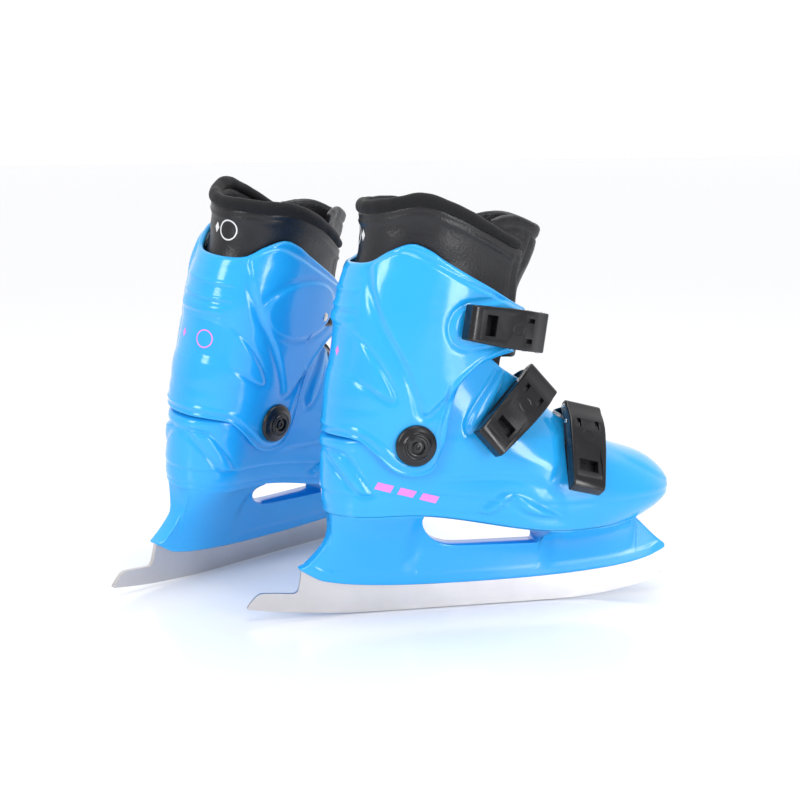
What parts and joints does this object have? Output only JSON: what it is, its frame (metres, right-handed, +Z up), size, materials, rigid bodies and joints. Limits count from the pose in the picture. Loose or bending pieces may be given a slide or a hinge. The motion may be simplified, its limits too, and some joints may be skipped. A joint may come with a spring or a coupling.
{
  "type": "ice skates",
  "caption": "Pair of hard-shell ice skates with hinged cuffs, lever buckles on ladder straps, padded liners and steel figure blades set in plastic holders.",
  "frame": {"origin": "middle of the flat edge of the right skate's blade, on the ice", "axes": "+X towards the toe of the right skate, +Y towards its inner side where the left skate stands, +Z up"},
  "size_m": [0.3907, 0.3145, 0.2955],
  "materials": {
    "azure_shell": "glossy",
    "black_plastic": "glossy",
    "liner": "soft synthetic leather",
    "collar": "matte padded",
    "footbed": "matte",
    "steel": "satin"
  },
  "bodies": {
    "boot_right": {"shell_r": "azure_shell", "holder_r": "azure_shell", "blade_r": "steel", "sole_screws_r": "steel", "footbed_r": "footbed", "liner_foot_r": "liner", "pivot_caps_r": "black_plastic", "pivot_rivets_r": "steel", "base_mid_r": "black_plastic", "strap_mid_r": "black_plastic", "base_toe_r": "black_plastic", "strap_toe_r": "black_plastic", "pins_foot_r": "steel", "rivets_foot_r": "steel", "strap_rivets_r": "steel"},
    "cuff_right": {"cuff_r": "azure_shell", "liner_shaft_r": "liner", "collar_roll_r": "collar", "tongue_shaft_r": "liner", "base_top_r": "black_plastic", "strap_top_r": "black_plastic", "pins_top_r": "steel", "rivets_top_r": "steel"},
    "lever_top_right": {"lever_top_r": "black_plastic", "catch_top_r": "steel"},
    "lever_mid_right": {"lever_mid_r": "black_plastic", "catch_mid_r": "steel"},
    "lever_toe_right": {"lever_toe_r": "black_plastic", "catch_toe_r": "steel"},
    "boot_left": {"shell_l": "azure_shell", "holder_l": "azure_shell", "blade_l": "steel", "sole_screws_l": "steel", "footbed_l": "footbed", "liner_foot_l": "liner", "pivot_caps_l": "black_plastic", "pivot_rivets_l": "steel", "base_mid_l": "black_plastic", "strap_mid_l": "black_plastic", "base_toe_l": "black_plastic", "strap_toe_l": "black_plastic", "pins_foot_l": "steel", "rivets_foot_l": "steel", "strap_rivets_l": "steel"},
    "cuff_left": {"cuff_l": "azure_shell", "liner_shaft_l": "liner", "collar_roll_l": "collar", "tongue_shaft_l": "liner", "base_top_l": "black_plastic", "strap_top_l": "black_plastic", "pins_top_l": "steel", "rivets_top_l": "steel"},
    "lever_top_left": {"lever_top_l": "black_plastic", "catch_top_l": "steel"},
    "lever_mid_left": {"lever_mid_l": "black_plastic", "catch_mid_l": "steel"},
    "lever_toe_left": {"lever_toe_l": "black_plastic", "catch_toe_l": "steel"}
  },
  "joints": [
    {"name": "cuff_pivot_right", "type": "hinge", "parent": "boot_right", "child": "cuff_right", "pos_m": [-0.041, 0, 0.125], "axis": [0, 1, 0], "range_deg": [0, 5]},
    {"name": "lever_top_right", "type": "hinge", "parent": "cuff_right", "child": "lever_top_right", "pos_m": [0.04829, -0.02769, 0.19567], "axis": [0.1709, 0.093, 0.9809], "range_deg": [0, 100]},
    {"name": "lever_mid_right", "type": "hinge", "parent": "boot_right", "child": "lever_mid_right", "pos_m": [0.05093, -0.02193, 0.1611], "axis": [-0.6539, 0.0997, 0.75], "range_deg": [0, 60]},
    {"name": "lever_toe_right", "type": "hinge", "parent": "boot_right", "child": "lever_toe_right", "pos_m": [0.08264, -0.01582, 0.13919], "axis": [-0.9643, -0.0686, 0.2556], "range_deg": [0, 100]},
    {"name": "pair_apart", "type": "slide", "parent": "boot_right", "child": "boot_left", "axis": [0, 1, 0], "range_m": [0, 0.12]},
    {"name": "cuff_pivot_left", "type": "hinge", "parent": "boot_left", "child": "cuff_left", "pos_m": [-0.13758, 0.12398, 0.12399], "axis": [-0.5821, 0.8011, 0.1392], "range_deg": [0, 5]},
    {"name": "lever_top_left", "type": "hinge", "parent": "cuff_left", "child": "lever_top_left", "pos_m": [-0.07569, 0.1907, 0.19783], "axis": [-0.2727, 0.0845, -0.9584], "range_deg": [0, 100]},
    {"name": "lever_mid_left", "type": "hinge", "parent": "boot_left", "child": "lever_mid_left", "pos_m": [-0.07303, 0.19152, 0.16279], "axis": [0.4096, 0.5487, -0.7288], "range_deg": [0, 60]},
    {"name": "lever_toe_left", "type": "hinge", "parent": "boot_left", "child": "lever_toe_left", "pos_m": [-0.04561, 0.20774, 0.14024], "axis": [0.7992, 0.5407, -0.2627], "range_deg": [0, 100]}
  ]
}
